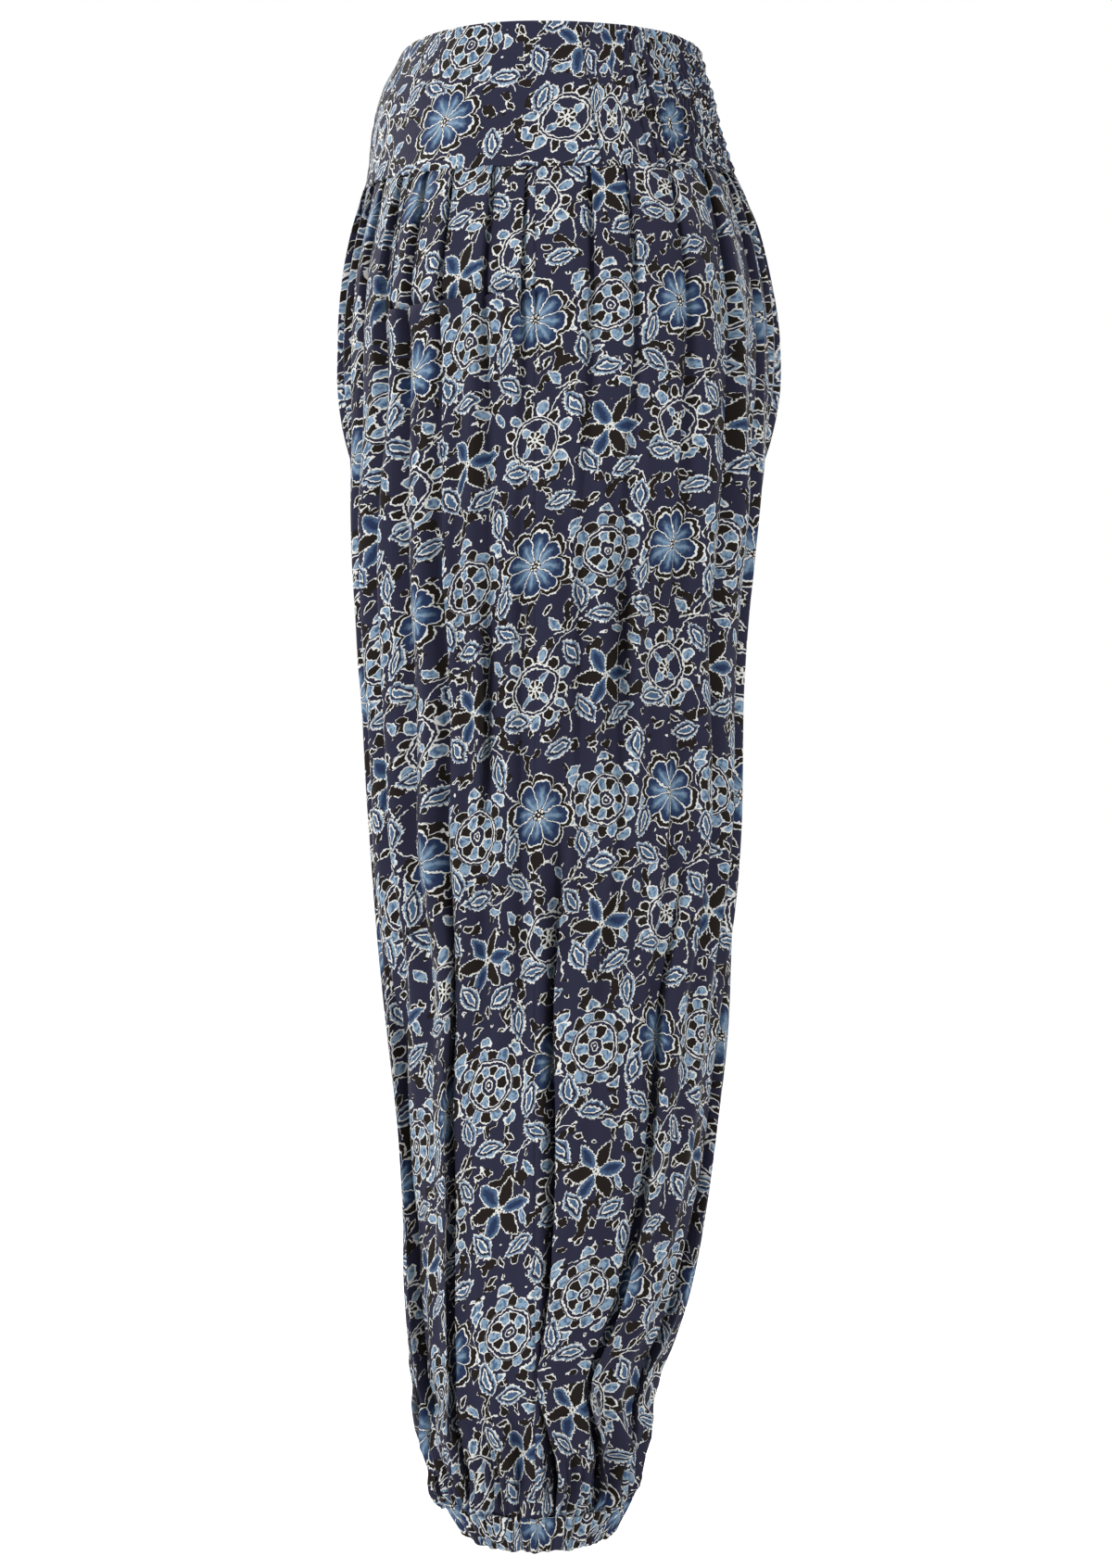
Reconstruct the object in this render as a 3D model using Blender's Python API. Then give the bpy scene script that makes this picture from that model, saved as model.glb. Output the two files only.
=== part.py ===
"""Harem trousers: a waistband with a flat front and a shirred back, two pleated balloon legs
with a pocket in each front, and elastic casings at the ankles, as hollow as they are worn.

Metres, +Z up, the front towards -Y and the wearer's left towards +X. The origin is the middle
of the waist opening, level with the waistband's top edge at the sides.
"""

import functools
import math

import bmesh
import bpy
import numpy as np

# Driving dimensions, metres
LEG_CLOTH = 0.0015  # wall of the leg panels and pockets
BAND_CLOTH = 0.002  # wall of the waistband, which is doubled
CASING_CLOTH = 0.0025  # wall of the ankle casings, with the elastic in them
SEAM_GAP = 0.0003  # between neighbouring pieces
SEAM_Y = -0.012  # the side seams hang a little in front of the middle

BAND_SIDE, BAND_FRONT, BAND_BACK = 0.096, 0.093, 0.081  # waistband height, side, front, back
BAND_DIP = 0.004  # the top edge is this much lower at front and back than at the sides
SHIRRED_FROM_TOP, SHIRRED_FROM_FOOT = 0.016, 0.031  # Y where the shirred back starts
MOUTH_SIDE, MOUTH_FRONT = 0.179, 0.1885  # depth of the pocket mouth, side seam, front end
BAG_CLEARANCE = 0.0015  # between the bag and the leg in front of it
HIP_TOP = -0.20  # above this the two halves share one oval
CROTCH = -0.42
CASING_TOP, CASING_FOOT = -0.952, -0.972  # an ankle casing, at its front and back
ANKLE_DIP = 0.010  # the ankles are this much lower outside, and higher inside
ANKLE_DIP_FROM = -0.84

PLEATS = 9  # across each leg panel
POCKET_PLEATS = 4  # of those, how many from the side seam cross the pocket
SHIRRING_RIDGES = 12  # on each half of the shirred back

# The trousers' outline, each row: level, front Y, back Y, outer X, inner X of a leg
OUTLINE = (
    (0.000, -0.100, 0.096, 0.130, 0.0),
    (-0.030, -0.115, 0.104, 0.138, 0.0),
    (-0.080, -0.124, 0.118, 0.155, 0.0),
    (-0.104, -0.129, 0.129, 0.166, 0.0),
    (-0.155, -0.139, 0.143, 0.185, 0.0),
    (-0.216, -0.142, 0.149, 0.198, 0.0),
    (-0.280, -0.134, 0.141, 0.204, 0.0),
    (-0.342, -0.129, 0.130, 0.206, 0.0),
    (CROTCH, -0.125, 0.122, 0.206, 0.0005),
    (-0.524, -0.119, 0.120, 0.205, 0.008),
    (-0.645, -0.108, 0.113, 0.202, 0.014),
    (-0.765, -0.098, 0.100, 0.197, 0.019),
    (-0.825, -0.097, 0.088, 0.192, 0.024),
    (-0.886, -0.091, 0.069, 0.181, 0.033),
    (-0.934, -0.080, 0.056, 0.167, 0.044),
    (CASING_TOP, -0.0725, 0.0505, 0.160, 0.050),
    (CASING_FOOT, -0.060, 0.040, 0.152, 0.058),
)
FRONT_Y, BACK_Y, OUTER_X, INNER_X = 1, 2, 3, 4  # the columns of those rows
BAND_CORNERS = {"front": 2.1, "back": 2.5}  # 2 is an ellipse, and more is squarer
LEG_CORNER = 2.2
OUTLINE_STEPS = 120
SEAM_BLEND = 3  # how tightly a leg bends into the crotch seam, from 2 for softly
SEAM_ROUNDNESS = 0.6  # 0.5 is an ellipse, and more is straighter

# How far pleats and gathers stand out from their middle, each row: level, height
PLEAT_HEIGHT = (
    (-0.080, 0.0010),
    (-0.150, 0.0025),
    (-0.250, 0.0035),
    (-0.600, 0.0030),
    (-0.880, 0.0035),
    (CASING_TOP, 0.0020),
)
# The deep folds down a leg, each row: panel, level and place at the top, level and place at the
# foot, and depth. A place across a panel is 0 at its inner edge and 1 at the side seam.
DEEP_FOLDS = (
    ("back", -0.52, 0.945, -0.95, 0.835, 0.010),
    ("back", -0.58, 0.445, -0.93, 0.500, 0.006),
    ("front", -0.36, 0.610, -0.52, 0.610, 0.006),
    ("front", -0.70, 0.280, -0.95, 0.390, 0.006),
)
FOLD_HALF_WIDTH = 0.06  # of a panel's width
SHIRRING_HEIGHT = 0.0008

# How finely the walls are divided
COLUMNS = 2 * PLEATS  # a ridge and a trough for each pleat
POCKET_COLUMN = COLUMNS - 2 * POCKET_PLEATS
MOUTH_ROWS, CROTCH_ROWS, CASING_ROWS, BAG_ROWS, BAND_ROWS, CUFF_ROWS = 3, 7, 10, 3, 4, 2
BAND_FRONT_COLUMNS, BAND_SIDE_COLUMNS = 12, 2
CROTCH_CROWDING = 1.5  # 1 spaces the rows above the crotch evenly, and more crowds them to it

NAVY = (0.020, 0.022, 0.060)
COTTON_ROUGHNESS = 0.85


def clear_scene():
    for obj in list(bpy.data.objects):
        bpy.data.objects.remove(obj, do_unlink=True)


def along(rows, level, column=1):
    """The value in a column of rows at a level, on a smooth curve through them."""
    table = np.array(rows)[::-1]
    levels, values = table[:, 0], table[:, column]
    slopes = np.gradient(values, levels)
    level = min(max(level, levels[0]), levels[-1])
    i = min(int(np.searchsorted(levels, level, side="right")) - 1, len(levels) - 2)
    width = levels[i + 1] - levels[i]
    u = (level - levels[i]) / width
    return (
        (1 + 2 * u) * (1 - u) ** 2 * values[i]
        + u * (1 - u) ** 2 * width * slopes[i]
        + u**2 * (3 - 2 * u) * values[i + 1]
        + u**2 * (u - 1) * width * slopes[i + 1]
    )


def above_crotch(level):
    """0 at the crotch and below it, 1 where the two halves share one oval."""
    return min(max((level - CROTCH) / (HIP_TOP - CROTCH), 0), 1)


def squared(value, corner):
    return np.sign(value) * np.abs(value) ** (2 / corner)


def section(level, panel):
    """The left panel's outline at a level, from its inner edge to the side seam.

    It is a quarter of an oval at the hips and half of a leg's loop below the crotch. Between
    them its inner edge follows a round crotch seam.
    """
    depth = along(OUTLINE, level, FRONT_Y if panel == "front" else BACK_Y)
    outer, inner = along(OUTLINE, level, OUTER_X), along(OUTLINE, level, INNER_X)
    turn = np.linspace(0, 1, OUTLINE_STEPS + 1)
    corner = BAND_CORNERS[panel]
    hip_x = outer * squared(np.sin(turn * math.pi / 2), corner)
    hip_y = squared(np.cos(turn * math.pi / 2), corner)
    leg_x = (outer + inner) / 2
    leg_x = leg_x - (outer - inner) / 2 * squared(np.cos(turn * math.pi), LEG_CORNER)
    leg_y = squared(np.sin(turn * math.pi), LEG_CORNER)
    rise = above_crotch(level)
    share = rise * rise * (3 - 2 * rise)
    seam = (1 - (1 - rise) ** 2) ** SEAM_ROUNDNESS
    extra = (seam**SEAM_BLEND - share**SEAM_BLEND) * (1 - turn) ** SEAM_BLEND
    y = np.maximum(share * hip_y + (1 - share) * leg_y, 0)
    y = (y**SEAM_BLEND + extra) ** (1 / SEAM_BLEND)
    edge = SEAM_Y * (turn + (1 - turn) * share)
    y = edge + (depth - edge) * y / y.max()
    return np.column_stack([share * hip_x + (1 - share) * leg_x, y])


def lengths_along(points):
    return np.concatenate([[0], np.cumsum(np.hypot(*np.diff(points, axis=0).T))])


@functools.cache
def crotch_length(panel):
    return lengths_along(section(CROTCH, panel))[-1]


def place_on_outline(level, across, panel, length):
    """Where a place across a panel lies along an outline of a given length.

    Above the crotch the outline loses the part that reaches under the body. Near there the
    places closest to the crotch seam draw together, and the others keep their distance from
    the side seam.
    """
    rise = above_crotch(level)
    share = rise * rise * (3 - 2 * rise)
    full = length * share + (crotch_length(panel) if rise > 0 else length) * (1 - share)
    from_side = (1 - across) * full * (1 - (1 - across) ** 3 * (1 - length / full))
    return min(max(length - from_side, SEAM_GAP / 2), length - SEAM_GAP / 2)


def on_section(points, level, across, panel):
    """The point and direction at a place across a panel, half a seam gap short of its ends."""
    length = lengths_along(points)
    place = place_on_outline(level, across, panel, length[-1])
    directions = np.gradient(points, length, axis=0)
    point, direction = (
        np.array([np.interp(place, length, table[:, axis]) for axis in (0, 1)])
        for table in (points, directions)
    )
    return point, direction


def ankle_lift(level, across):
    """How far a point stands above its level: an ankle is lower outside than inside."""
    share = min(max((ANKLE_DIP_FROM - level) / (ANKLE_DIP_FROM - CASING_TOP), 0), 1)
    return ANKLE_DIP * share**2 * math.cos(math.pi * across)


def smooth_form(levels, across, panel):
    """The left side's form without pleats: grids of its points and of its normals."""
    points, around = np.zeros((*levels.shape, 3)), np.zeros((*levels.shape, 3))
    for place in np.ndindex(levels.shape):
        outline = section(levels[place], panel)
        flat, direction = on_section(outline, levels[place], across[place], panel)
        points[place] = (*flat, levels[place] + ankle_lift(levels[place], across[place]))
        around[place][:2] = direction
    down = np.gradient(points, axis=0)
    normals = np.cross(down, around) * (1 if panel == "front" else -1)
    normals[[0, -1], :, 2] = 0
    return points, normals / np.linalg.norm(normals, axis=2, keepdims=True)


def band_foot(across, panel):
    """Level of the waistband seam, from the centre seam (0) to the side seam (1)."""
    centre = BAND_FRONT if panel == "front" else BAND_BACK
    return -(centre + (BAND_SIDE - centre) * math.sin(across * math.pi / 2))


def band_top(across):
    return -BAND_DIP * math.cos(across * math.pi / 2) ** 2


def mouth_level(across):
    """Level of the pocket mouth, which is level from its front end to the centre seam."""
    first = POCKET_COLUMN / COLUMNS
    share = max(across - first, 0) / (1 - first)
    return -(MOUTH_FRONT + (MOUTH_SIDE - MOUTH_FRONT) * share)


def pleat_rise(level, across, panel):
    """How far the pleats, gathers and deep folds move a point out."""
    rise = along(PLEAT_HEIGHT, level) * math.cos(2 * math.pi * PLEATS * across)
    for side, top, start, foot, end, depth in DEEP_FOLDS:
        down = (level - top) / (foot - top)
        if side != panel or not 0 < down <= 1:
            continue
        middle = start + (end - start) * down
        share = max(1 - abs(across - middle) / FOLD_HALF_WIDTH, 0)
        rise -= depth * math.sin(min(2 * down, 1) * math.pi / 2) * share
    return rise


def leg_levels(across, panel):
    """The levels down a leg panel at a place across it: to the mouth, crotch and casing."""
    mouth = mouth_level(across)
    to_mouth = np.linspace(band_foot(across, panel) - SEAM_GAP, mouth, MOUTH_ROWS + 1)
    to_crotch = CROTCH + (mouth - CROTCH) * np.linspace(1, 0, CROTCH_ROWS + 1) ** CROTCH_CROWDING
    to_casing = np.linspace(CROTCH, CASING_TOP, CASING_ROWS + 1)
    return np.concatenate([to_mouth, to_crotch[1:], to_casing[1:]])


def leg_form(panel):
    """The left leg panel: points without pleats, normals, and how far each point moves out."""
    places = np.linspace(0, 1, COLUMNS + 1)
    levels = np.array([leg_levels(place, panel) for place in places]).T
    across = np.broadcast_to(places, levels.shape)
    points, normals = smooth_form(levels, across, panel)
    rise = np.zeros(levels.shape)
    for place in np.ndindex(levels.shape):
        rise[place] = pleat_rise(levels[place], across[place], panel)
    return points, normals, rise


def moved_out(points, normals, rise):
    """Points moved along their normals, kept on their own side of the centre seam."""
    moved = points + normals * rise[..., None]
    moved[..., 0] = np.maximum(moved[..., 0], SEAM_GAP / 2)
    return moved


def cloth_material(name):
    material = bpy.data.materials.new(name + "_cotton")
    material.use_nodes = True
    shader = material.node_tree.nodes["Principled BSDF"]
    shader.inputs["Base Color"].default_value = (*NAVY, 1)
    shader.inputs["Roughness"].default_value = COTTON_ROUGHNESS
    shader.inputs["Metallic"].default_value = 0.0
    return material


def wall_faces(mesh, outside, inside, cells, columns):
    """Both skins of a wall over its cells, and its edges where a cell has no neighbour."""
    corners = ((0, 0), (0, 1), (1, 1), (1, 0))
    beside = ((-1, 0), (0, 1), (1, 0), (0, -1))
    for row, column in sorted(cells):
        ring = [(row + down, (column + right) % columns) for down, right in corners]
        mesh.faces.new([outside[place] for place in ring])
        mesh.faces.new([inside[place] for place in reversed(ring)])
        for k, (down, right) in enumerate(beside):
            if (row + down, (column + right) % columns) in cells:
                continue
            first, last = ring[k], ring[(k + 1) % 4]
            mesh.faces.new([outside[last], outside[first], inside[first], inside[last]])


def add_wall(name, outside, inside, side, keep=None, ring=False):
    """A closed wall between two grids of points made for the left side."""
    rows, columns = outside.shape[:2]
    if keep is None:
        keep = np.ones((rows - 1, columns if ring else columns - 1), bool)
    cells = {(int(row), int(column)) for row, column in zip(*np.nonzero(keep))}
    used = {
        (row + down, (column + right) % columns)
        for row, column in cells
        for down in (0, 1)
        for right in (0, 1)
    }
    mirror = np.array([1 if side == "left" else -1, 1, 1])
    mesh = bmesh.new()
    skins = [
        {place: mesh.verts.new(grid[place] * mirror) for place in sorted(used)}
        for grid in (outside, inside)
    ]
    wall_faces(mesh, *skins, cells, columns)
    bmesh.ops.recalc_face_normals(mesh, faces=mesh.faces)
    data = bpy.data.meshes.new(name)
    mesh.to_mesh(data)
    mesh.free()
    data.shade_smooth()
    data.set_sharp_from_angle(angle=math.radians(50))
    data.materials.append(cloth_material(name))
    obj = bpy.data.objects.new(name, data)
    bpy.context.scene.collection.objects.link(obj)


def add_leg_panel(panel, side):
    points, normals, rise = leg_form(panel)
    keep = np.ones((points.shape[0] - 1, COLUMNS), bool)
    if panel == "front":
        keep[:MOUTH_ROWS, POCKET_COLUMN:] = False
    outside = moved_out(points, normals, rise)
    inside = moved_out(points, normals, rise - LEG_CLOTH)
    add_wall(f"leg_{panel}_{side}", outside, inside, side, keep)


def add_pocket(side):
    """The facing that shows above the mouth and runs on behind the leg as a flat bag."""
    places = np.linspace(POCKET_COLUMN / COLUMNS, 1, COLUMNS - POCKET_COLUMN + 1)
    last = MOUTH_ROWS + BAG_ROWS + 1
    levels = np.array([leg_levels(place, "front")[:last] for place in places]).T
    outline = section(levels[MOUTH_ROWS, 0], "front")
    places[0] += SEAM_GAP / lengths_along(outline)[-1]
    across = np.broadcast_to(places, levels.shape)
    points, normals = smooth_form(levels, across, "front")
    behind = np.full(len(levels), LEG_CLOTH + BAG_CLEARANCE)
    behind[: MOUTH_ROWS + 1] = np.linspace(0, LEG_CLOTH + SEAM_GAP, MOUTH_ROWS + 1)
    rise = np.zeros(levels.shape)
    for place in np.ndindex(levels.shape):
        rise[place] = pleat_rise(levels[place], across[place], "front") - behind[place[0]]
    outside = moved_out(points, normals, rise)
    inside = moved_out(points, normals, rise - LEG_CLOTH)
    add_wall(f"pocket_{side}", outside, inside, side)


def joint_place(level):
    """How far across the back the shirring starts at a level, as a share of its outline."""
    outline = section(level, "back")
    length = lengths_along(outline)
    start = SHIRRED_FROM_TOP + (SHIRRED_FROM_FOOT - SHIRRED_FROM_TOP) * level / -BAND_SIDE
    return float(np.interp(-start, -outline[:, 1], length / length[-1]))


def band_levels(tops, feet, panel):
    """The levels down the waistband between places across its top and its foot."""
    high = [band_top(place) for place in tops]
    low = [band_foot(place, panel) for place in feet]
    return np.linspace(high, low, BAND_ROWS + 1)


def band_form(places, panel):
    """Points and level normals of the waistband over a panel, at shares of its outline."""
    levels = band_levels(places[0], places[-1], panel)
    points, normals = smooth_form(levels, places, panel)
    normals[..., 2] = 0
    return points, normals / np.linalg.norm(normals, axis=2, keepdims=True)


def joint_places():
    """The joint's place in each row of the waistband."""
    column = band_levels([joint_place(0)], [joint_place(-BAND_SIDE)], "back")
    return np.array([[joint_place(level)] for level in column[:, 0]])


def add_waistband_front():
    """One piece, from the shirring on one side round the front to the other side's."""
    front = np.linspace(0, 1, BAND_FRONT_COLUMNS + 1)
    rows = np.ones((BAND_ROWS + 1, 1))
    gap = SEAM_GAP / 2 / lengths_along(section(-BAND_SIDE / 2, "back"))[-1]
    joint = joint_places() + gap
    shares = np.linspace(0, 1, BAND_SIDE_COLUMNS + 1)[1:]
    parts = [band_form(rows * front, "front"), band_form(1 - (1 - joint) * shares, "back")]
    points, normals = (np.concatenate([part[k] for part in parts], axis=1) for k in (0, 1))
    points[:, 0, 0] = 0
    normals[:, 0] = (0, -1, 0)
    points, normals = both_halves(points), both_halves(normals)
    add_wall("waistband_front", points, points - normals * BAND_CLOTH, "left")


def both_halves(grid):
    """A left half's grid that starts at the centre, with its mirror image before it."""
    return np.concatenate([grid[:, :0:-1] * np.array([-1, 1, 1]), grid], axis=1)


def add_waistband_back():
    """The shirred piece, in fine upright ridges from joint to joint."""
    gap = SEAM_GAP / 2 / lengths_along(section(-BAND_SIDE / 2, "back"))[-1]
    joint = joint_places() - gap
    shares = np.linspace(0, 1, 2 * SHIRRING_RIDGES + 1)
    points, normals = band_form(joint * shares, "back")
    points[:, 0, 0] = 0
    normals[:, 0] = (0, 1, 0)
    rise = SHIRRING_HEIGHT * (np.cos(math.pi * np.arange(points.shape[1])) - 1)
    points = points + normals * rise[None, :, None]
    points, normals = both_halves(points), both_halves(normals)
    add_wall("waistband_back", points, points - normals * BAND_CLOTH, "left")


def add_cuff(side):
    """An ankle casing: a closed ring of gathers round the foot of both leg panels."""
    places = np.linspace(0, 1, COLUMNS + 1)
    levels = np.linspace(CASING_TOP - SEAM_GAP, CASING_FOOT, CUFF_ROWS + 1)
    levels = np.broadcast_to(levels[:, None], (CUFF_ROWS + 1, COLUMNS + 1))
    across = np.broadcast_to(places, levels.shape)
    halves = [smooth_form(levels, across, panel) for panel in ("front", "back")]
    points, normals = (
        np.concatenate([halves[0][k][:, :-1], halves[1][k][:, :0:-1]], axis=1) for k in (0, 1)
    )
    normals[..., 2] = 0
    normals /= np.linalg.norm(normals, axis=2, keepdims=True)
    turn = np.arange(points.shape[1]) * math.pi
    rise = np.broadcast_to(along(PLEAT_HEIGHT, CASING_TOP) * np.cos(turn), points.shape[:2])
    outside = moved_out(points, normals, rise)
    inside = moved_out(points, normals, rise - CASING_CLOTH)
    add_wall(f"cuff_{side}", outside, inside, side, ring=True)


def main():
    clear_scene()
    add_waistband_front()
    add_waistband_back()
    for side in ("left", "right"):
        for panel in ("front", "back"):
            add_leg_panel(panel, side)
        add_pocket(side)
        add_cuff(side)


main()
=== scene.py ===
"""Looks of the harem trousers: thin pleated and gathered cloth in a block print of wheels,
flowers and serrated leaves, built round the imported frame.

Metres, +Z up, the front towards -Y and the wearer's left towards +X.
"""

import math

import bpy
import numpy as np
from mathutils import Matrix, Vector


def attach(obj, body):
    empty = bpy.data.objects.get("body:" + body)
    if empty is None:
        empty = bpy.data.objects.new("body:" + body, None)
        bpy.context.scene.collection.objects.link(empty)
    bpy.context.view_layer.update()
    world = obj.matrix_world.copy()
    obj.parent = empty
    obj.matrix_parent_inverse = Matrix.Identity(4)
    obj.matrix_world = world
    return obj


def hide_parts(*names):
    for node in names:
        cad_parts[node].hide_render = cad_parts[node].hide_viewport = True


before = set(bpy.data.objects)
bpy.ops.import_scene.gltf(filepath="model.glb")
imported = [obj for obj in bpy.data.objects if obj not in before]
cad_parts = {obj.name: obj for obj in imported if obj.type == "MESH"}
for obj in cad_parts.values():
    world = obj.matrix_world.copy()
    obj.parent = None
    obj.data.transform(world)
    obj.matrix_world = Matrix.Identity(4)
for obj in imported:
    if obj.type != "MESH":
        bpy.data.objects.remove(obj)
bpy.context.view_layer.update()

# The trousers' form, which repeats the CAD's own sizes
SEAM_GAP = 0.0003
SEAM_Y = -0.012
BAND_SIDE, BAND_FRONT, BAND_BACK = 0.096, 0.093, 0.081
BAND_DIP = 0.004
SHIRRED_FROM_TOP, SHIRRED_FROM_FOOT = 0.016, 0.031
MOUTH_SIDE, MOUTH_FRONT = 0.179, 0.1885
HIP_TOP, CROTCH = -0.20, -0.42
PARTING = -0.426  # the centre seam joins the two legs down to this level
CASING_TOP, CASING_FOOT = -0.952, -0.972
ANKLE_DIP, ANKLE_DIP_FROM = 0.010, -0.84
OUTLINE = (  # level, front Y, back Y, outer X, inner X of a leg
    (0.000, -0.100, 0.096, 0.130, 0.0),
    (-0.030, -0.115, 0.104, 0.138, 0.0),
    (-0.080, -0.124, 0.118, 0.155, 0.0),
    (-0.104, -0.129, 0.129, 0.166, 0.0),
    (-0.155, -0.139, 0.143, 0.185, 0.0),
    (-0.216, -0.142, 0.149, 0.198, 0.0),
    (-0.280, -0.134, 0.141, 0.204, 0.0),
    (-0.342, -0.129, 0.130, 0.206, 0.0),
    (CROTCH, -0.125, 0.122, 0.206, 0.0005),
    (-0.524, -0.119, 0.120, 0.205, 0.008),
    (-0.645, -0.108, 0.113, 0.202, 0.014),
    (-0.765, -0.098, 0.100, 0.197, 0.019),
    (-0.825, -0.097, 0.088, 0.192, 0.024),
    (-0.886, -0.091, 0.069, 0.181, 0.033),
    (-0.934, -0.080, 0.056, 0.167, 0.044),
    (CASING_TOP, -0.0725, 0.0505, 0.160, 0.050),
    (CASING_FOOT, -0.060, 0.040, 0.152, 0.058),
)
FRONT_Y, BACK_Y, OUTER_X, INNER_X = 1, 2, 3, 4
BAND_CORNERS = {"front": 2.1, "back": 2.5}
LEG_CORNER = 2.2
SEAM_BLEND = 3
SEAM_ROUNDNESS = 0.6

# The cloth before it is pleated and gathered
PANEL_WIDTH = 0.408  # of a leg panel at the crotch and below
PANEL_WIDTH_AT_HIP = 0.300
WIDTH_CROWDING = 3  # how near the inner edge the crotch curve cuts the cloth away
SHIRRING_FULLNESS = 1.75  # cloth width over band width in the shirred back
CASING_FULLNESS = 1.9

# Pleats let into the waist seam: distances across the cloth from the side seam
PLEATS = {
    "front": (0.012, 0.043, 0.082, 0.116, 0.152, 0.190, 0.230, 0.268),
    "back": (0.040, 0.071, 0.112, 0.155, 0.196, 0.238, 0.274),
}
PLEAT_RELEASE = (-0.150, -0.320)  # levels where the pleats start and end opening out
PLEAT_RISE = 0.0026
PLEAT_REACH = 0.013  # how far a pleat's rise spreads to each side
TRENCH_SHARE = 1.9  # depth of the gap under a pleat's or fold's lip, over the fold's height
TRENCH_WIDTH, TRENCH_WALL = 0.0022, 0.0018  # and how wide it is in front of the lip, at least
BLOUSE = 0.0030  # how far the leg swells out just above its casing
SINK = 0.0026  # the cloth's mean depth under the form, whose surface its ridges reach
# Longer folds, each row: panel, level and distance from the side seam at the top, at the
# foot, share of the panel's spare cloth hidden in it, its height, and how far that spreads
FOLDS = (
    ("back", -0.50, 0.018, -0.93, 0.052, 0.42, 0.0070, 0.022),
    ("back", -0.33, 0.071, -0.46, 0.071, 0.15, 0.0030, 0.012),
    ("back", -0.50, 0.122, -0.93, 0.128, 0.26, 0.0046, 0.018),
    ("back", -0.56, 0.215, -0.93, 0.205, 0.20, 0.0050, 0.020),
    ("back", -0.62, 0.310, -0.93, 0.300, 0.10, 0.0040, 0.018),
    ("front", -0.36, 0.043, -0.52, 0.043, 0.15, 0.0034, 0.014),
    ("front", -0.52, 0.075, -0.93, 0.092, 0.28, 0.0046, 0.018),
    ("front", -0.58, 0.165, -0.93, 0.160, 0.25, 0.0044, 0.018),
    ("front", -0.60, 0.250, -0.94, 0.235, 0.25, 0.0050, 0.020),
    ("front", -0.56, 0.330, -0.90, 0.325, 0.15, 0.0040, 0.018),
)
FOLD_SPREAD = 0.5  # cloth in a fold's middle layer, over the cloth hidden in it
PRINT_DRIFT = 0.040  # how far the cloth slides backwards into the side fold by the ankle
DRIFT_LEVELS = (-0.48, -0.93)

# Mesh
LEVEL_STEPS, PLACE_STEPS = 360, 181
ROWS_TO_MOUTH, ROWS_TO_CROTCH, ROWS_TO_CASING = 22, 42, 98
COLUMN_PITCH = 0.0025
PLEAT_COLUMNS = 8
CLOTH = 0.0006
PLEAT_COLUMNS_ACROSS = 0.012
POCKET_ACROSS = 0.672
WAIST_LAP, CASING_LAP = 0.003, 0.003  # the legs run this far under the waistband and casings
BAG_FOOT = -0.318
BAG_ROWS = 20
LAP_DEPTH = 0.0013
CASING_REACH = 0.0034  # the deepest that the folds still meet the casing's wall
HEM_LIFT = 0.0026  # the hemmed pocket mouth stands this far off the facing
BAG_DEPTH = 0.0065
BAND_THICKNESS, CUFF_THICKNESS = 0.0022, 0.0024
JOINT_HALF_GAP = 0.0012  # between the waistband's two pieces, as a share of the outline
BAND_FRONT_STEPS, BAND_BACK_STEPS, SHIRRED_STEPS, CUFF_STEPS = 84, 12, 290, 230
ELASTIC_PITCH, ELASTIC_DEPTH = 0.0085, 0.0006
RUFFLE_PITCH, RUFFLE_HEIGHT = 0.0052, 0.0034
CUFF_RUFFLES, CUFF_RUFFLE, CUFF_ROUND = 62, 0.0028, 0.31

FLOOR = -1.03
MIDDLE = -0.4913  # the camera's height
CAMERA_DISTANCE, CAMERA_LENS = 3.1, 70.49
WORLD_STRENGTH = 1.0
FLOOR_GLOW = 0.18

# The cut, for each leg panel and for where the print lies on each piece
FACING_PRINT_SHIFT = (0.013, 0.0945)
FLOWER_LEVEL = 0.354  # length down the cloth where a flower's middle lies on the side seam
BAND_SLANT = 0.25
BAND_FLOWER = (0.064, 0.060)  # a flower's middle below the waist, and in front of the side seam


def smooth(value):
    """0 below 0, 1 above 1, and an S between."""
    share = np.clip(value, 0, 1)
    return share * share * (3 - 2 * share)


def along(rows, level, column=1):
    """The values in a column of rows at some levels, on a smooth curve through them."""
    table = np.array(rows)[::-1]
    levels, values = table[:, 0], table[:, column]
    slopes = np.gradient(values, levels)
    level = np.clip(level, levels[0], levels[-1])
    i = np.minimum(np.searchsorted(levels, level, side="right") - 1, len(levels) - 2)
    width = levels[i + 1] - levels[i]
    u = (level - levels[i]) / width
    return (
        (1 + 2 * u) * (1 - u) ** 2 * values[i]
        + u * (1 - u) ** 2 * width * slopes[i]
        + u**2 * (3 - 2 * u) * values[i + 1]
        + u**2 * (u - 1) * width * slopes[i + 1]
    )


def squared(value, corner):
    return np.sign(value) * np.abs(value) ** (2 / corner)


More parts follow.
